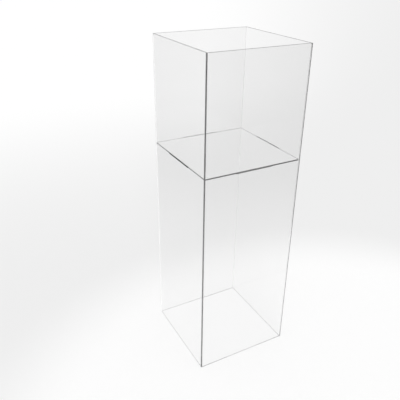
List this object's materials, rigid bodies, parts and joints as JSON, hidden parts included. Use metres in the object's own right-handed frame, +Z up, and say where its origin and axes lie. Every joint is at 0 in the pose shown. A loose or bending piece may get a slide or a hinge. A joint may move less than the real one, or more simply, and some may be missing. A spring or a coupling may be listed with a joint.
{
  "type": "display case",
  "caption": "Tall square display case of clear sheet, open at the top, with a display shelf carried by tabs that pass through slots in the walls.",
  "frame": {"origin": "centre of the square footprint, on the floor that the walls stand on", "axes": "+Z up along the height; -Y is the front wall's outward side; +X is to the right of someone facing the front wall"},
  "size_m": [0.4, 0.4, 1.265],
  "materials": {
    "clear_wall_sheet": "clear cast acrylic sheet, 5 mm, polished faces and fine-sawn satin edges",
    "clear_shelf_sheet": "clear cast acrylic sheet, 5 mm, polished faces with faint handling marks and satin cut edges"
  },
  "bodies": {
    "root": {"wall_front": "clear_wall_sheet", "wall_back": "clear_wall_sheet", "wall_left": "clear_wall_sheet", "wall_right": "clear_wall_sheet", "shelf": "clear_shelf_sheet"}
  },
  "joints": []
}
